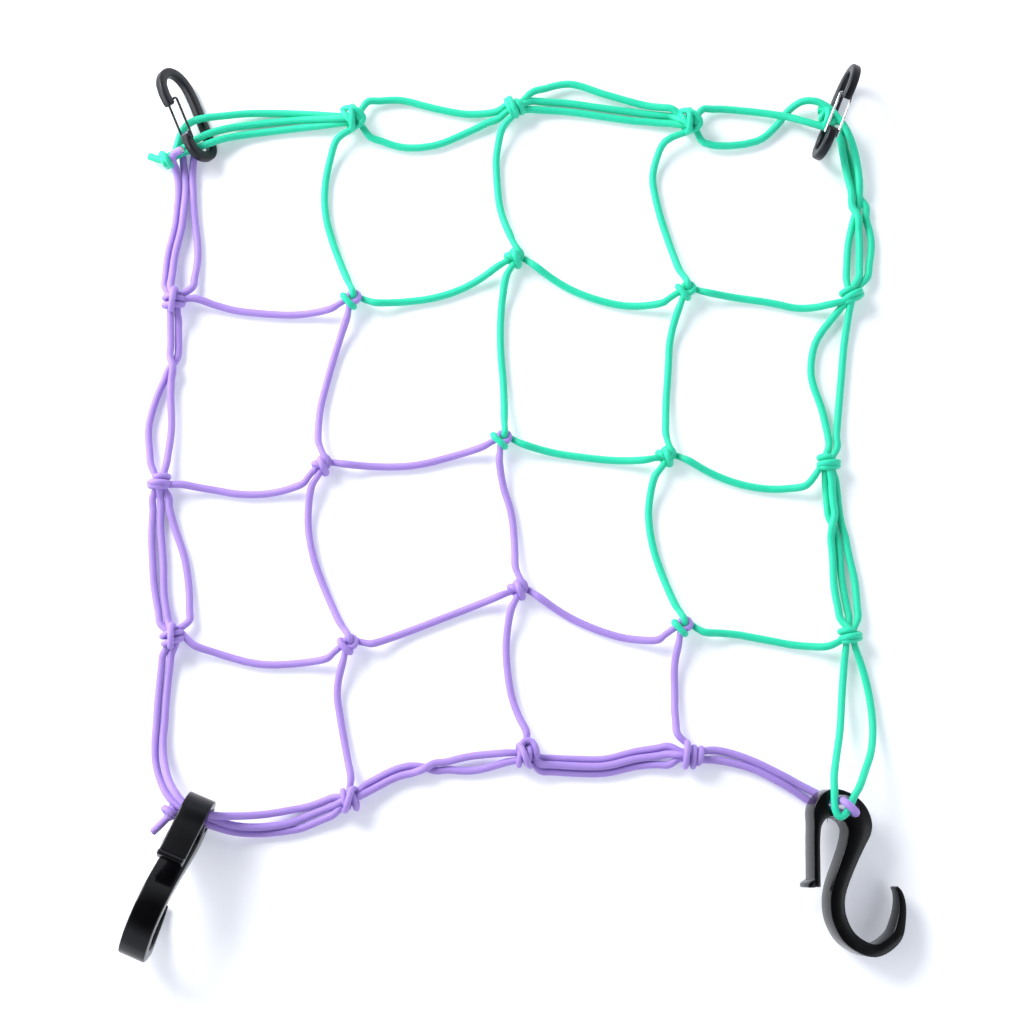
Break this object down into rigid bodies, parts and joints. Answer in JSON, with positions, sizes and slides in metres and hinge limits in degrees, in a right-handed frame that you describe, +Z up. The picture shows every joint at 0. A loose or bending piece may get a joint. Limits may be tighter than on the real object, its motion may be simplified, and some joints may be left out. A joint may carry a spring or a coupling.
{
  "type": "luggage net",
  "caption": "Elastic luggage net of knotted two-colour shock cord with wire-gate clips at two corners and strap hooks at the other two.",
  "frame": {"origin": "centre of the box's bottom face, on the surface that the net lies on", "axes": "+Z up from the surface, +Y towards the clips, +X to the right of a person who looks along +Y"},
  "size_m": [0.4246, 0.5016, 0.0468],
  "materials": {
    "green_cord": "braided polyester sheath on a rubber core, mint green",
    "purple_cord": "braided polyester sheath on a rubber core, lavender",
    "clip_paint": "satin black coating",
    "black_wire": "black-coated spring wire",
    "steel_wire": "bright spring wire",
    "hook_plastic": "glossy black moulded plastic"
  },
  "bodies": {
    "net": {"green_cord": "green_cord", "purple_cord": "purple_cord", "left_clip_frame": "clip_paint", "right_clip_frame": "clip_paint", "left_hook": "hook_plastic", "right_hook": "hook_plastic"},
    "left_gate": {"left_clip_gate": "black_wire"},
    "right_gate": {"right_clip_gate": "steel_wire"}
  },
  "joints": [
    {"name": "left_gate_hinge", "type": "hinge", "parent": "net", "child": "left_gate", "pos_m": [-0.18633, 0.20956, 0.01501], "axis": [-0.7127, -0.2808, -0.6428], "range_deg": [0, 22], "stiffness_Nm_per_rad": 0.01, "springref_deg": -11.46},
    {"name": "right_gate_hinge", "type": "hinge", "parent": "net", "child": "right_gate", "pos_m": [0.17935, 0.21165, 0.01845], "axis": [-0.9107, 0.3569, 0.2079], "range_deg": [0, 16], "stiffness_Nm_per_rad": 0.01, "springref_deg": -11.46}
  ]
}
